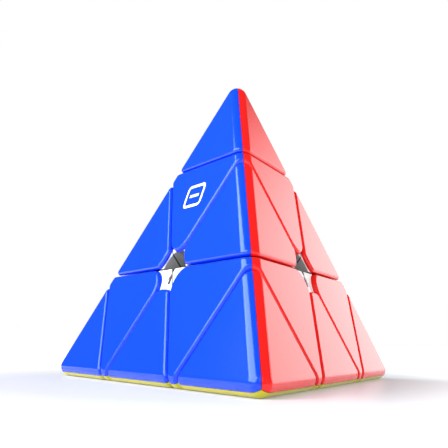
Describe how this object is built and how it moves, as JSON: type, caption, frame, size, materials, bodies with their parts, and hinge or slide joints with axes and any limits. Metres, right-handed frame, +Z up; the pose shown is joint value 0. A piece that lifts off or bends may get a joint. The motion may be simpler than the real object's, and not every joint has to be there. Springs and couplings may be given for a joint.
{
  "type": "pyramid twisty puzzle",
  "caption": "Four-faced pyramid twisty puzzle: corner tips, layers and edge pieces turn about axes through the corners; glossy coloured caps over pale frames.",
  "frame": {"origin": "middle of the core, where the axes through the corners meet", "axes": "+Z up to the top corner; -Z is the face it rests on; -Y toward the front ridge between the blue and the red face"},
  "size_m": [0.098, 0.0856, 0.081],
  "materials": {
    "cap_blue": "glossy coloured plastic",
    "cap_red": "glossy coloured plastic",
    "cap_yellow": "glossy coloured plastic",
    "cap_green": "glossy coloured plastic",
    "axial_frame": "satin light grey plastic",
    "edge_frame": "satin white plastic",
    "tip_frame": "satin white plastic",
    "core": "satin dark plastic",
    "screw": "bright plated steel",
    "spring": "drawn spring wire",
    "nut": "glossy purple plastic"
  },
  "bodies": {
    "core": {"core": "core", "axle_screws": "screw", "tension_springs": "spring", "tension_nuts": "nut"},
    "top_layer": {"axial_frame_top": "axial_frame", "axial_cap_top_green": "cap_green", "axial_cap_top_red": "cap_red", "axial_cap_top_blue": "cap_blue"},
    "front_layer": {"axial_frame_front": "axial_frame", "axial_cap_front_yellow": "cap_yellow", "axial_cap_front_red": "cap_red", "axial_cap_front_blue": "cap_blue"},
    "left_layer": {"axial_frame_left": "axial_frame", "axial_cap_left_yellow": "cap_yellow", "axial_cap_left_green": "cap_green", "axial_cap_left_blue": "cap_blue"},
    "right_layer": {"axial_frame_right": "axial_frame", "axial_cap_right_yellow": "cap_yellow", "axial_cap_right_green": "cap_green", "axial_cap_right_red": "cap_red"},
    "edge_top_front": {"edge_frame_top_front": "edge_frame", "edge_cap_top_front_red": "cap_red", "edge_cap_top_front_blue": "cap_blue"},
    "edge_top_left": {"edge_frame_top_left": "edge_frame", "edge_cap_top_left_green": "cap_green", "edge_cap_top_left_blue": "cap_blue"},
    "edge_top_right": {"edge_frame_top_right": "edge_frame", "edge_cap_top_right_green": "cap_green", "edge_cap_top_right_red": "cap_red"},
    "edge_front_left": {"edge_frame_front_left": "edge_frame", "edge_cap_front_left_yellow": "cap_yellow", "edge_cap_front_left_blue": "cap_blue"},
    "edge_front_right": {"edge_frame_front_right": "edge_frame", "edge_cap_front_right_yellow": "cap_yellow", "edge_cap_front_right_red": "cap_red"},
    "edge_left_right": {"edge_frame_left_right": "edge_frame", "edge_cap_left_right_yellow": "cap_yellow", "edge_cap_left_right_green": "cap_green"},
    "top_tip": {"tip_frame_top": "tip_frame", "tip_cap_top_green": "cap_green", "tip_cap_top_red": "cap_red", "tip_cap_top_blue": "cap_blue"},
    "front_tip": {"tip_frame_front": "tip_frame", "tip_cap_front_yellow": "cap_yellow", "tip_cap_front_red": "cap_red", "tip_cap_front_blue": "cap_blue"},
    "left_tip": {"tip_frame_left": "tip_frame", "tip_cap_left_yellow": "cap_yellow", "tip_cap_left_green": "cap_green", "tip_cap_left_blue": "cap_blue"},
    "right_tip": {"tip_frame_right": "tip_frame", "tip_cap_right_yellow": "cap_yellow", "tip_cap_right_green": "cap_green", "tip_cap_right_red": "cap_red"}
  },
  "joints": [
    {"name": "top_layer_turn", "type": "hinge", "parent": "core", "child": "top_layer", "pos_m": [0, 0, 0], "axis": [0, 0, 1], "range_deg": [-240, 120]},
    {"name": "front_layer_turn", "type": "hinge", "parent": "core", "child": "front_layer", "pos_m": [0, 0, 0], "axis": [0, -0.9428, -0.3333], "range_deg": [-120, 120]},
    {"name": "left_layer_turn", "type": "hinge", "parent": "core", "child": "left_layer", "pos_m": [0, 0, 0], "axis": [-0.8165, 0.4714, -0.3333], "range_deg": [-120, 120]},
    {"name": "right_layer_turn", "type": "hinge", "parent": "core", "child": "right_layer", "pos_m": [0, 0, 0], "axis": [0.8165, 0.4714, -0.3333], "range_deg": [-120, 120]},
    {"name": "edge_top_front_with_top", "type": "hinge", "parent": "front_layer", "child": "edge_top_front", "pos_m": [0, 0, 0], "axis": [0, 0, 1], "range_deg": [-240, 120]},
    {"name": "edge_top_left_with_top", "type": "hinge", "parent": "left_layer", "child": "edge_top_left", "pos_m": [0, 0, 0], "axis": [0, 0, 1], "range_deg": [-240, 120]},
    {"name": "edge_top_right_with_top", "type": "hinge", "parent": "right_layer", "child": "edge_top_right", "pos_m": [0, 0, 0], "axis": [0, 0, 1], "range_deg": [-240, 120]},
    {"name": "edge_front_left_with_left", "type": "hinge", "parent": "front_layer", "child": "edge_front_left", "pos_m": [0, 0, 0], "axis": [-0.8165, 0.4714, -0.3333], "range_deg": [-120, 120]},
    {"name": "edge_front_right_with_front", "type": "hinge", "parent": "right_layer", "child": "edge_front_right", "pos_m": [0, 0, 0], "axis": [0, -0.9428, -0.3333], "range_deg": [-120, 120]},
    {"name": "edge_left_right_with_right", "type": "hinge", "parent": "left_layer", "child": "edge_left_right", "pos_m": [0, 0, 0], "axis": [0.8165, 0.4714, -0.3333], "range_deg": [-120, 120]},
    {"name": "top_tip_turn", "type": "hinge", "parent": "top_layer", "child": "top_tip", "pos_m": [0, 0, 0], "axis": [0, 0, 1], "continuous": true},
    {"name": "front_tip_turn", "type": "hinge", "parent": "front_layer", "child": "front_tip", "pos_m": [0, 0, 0], "axis": [0, -0.9428, -0.3333], "continuous": true},
    {"name": "left_tip_turn", "type": "hinge", "parent": "left_layer", "child": "left_tip", "pos_m": [0, 0, 0], "axis": [-0.8165, 0.4714, -0.3333], "continuous": true},
    {"name": "right_tip_turn", "type": "hinge", "parent": "right_layer", "child": "right_tip", "pos_m": [0, 0, 0], "axis": [0.8165, 0.4714, -0.3333], "continuous": true}
  ],
  "couplings": [
    {"joint": "edge_top_front_with_top", "follows": "top_layer_turn", "ratio": 1},
    {"joint": "edge_top_left_with_top", "follows": "top_layer_turn", "ratio": 1},
    {"joint": "edge_top_right_with_top", "follows": "top_layer_turn", "ratio": 1},
    {"joint": "edge_front_left_with_left", "follows": "left_layer_turn", "ratio": 1},
    {"joint": "edge_front_right_with_front", "follows": "front_layer_turn", "ratio": 1},
    {"joint": "edge_left_right_with_right", "follows": "right_layer_turn", "ratio": 1}
  ]
}
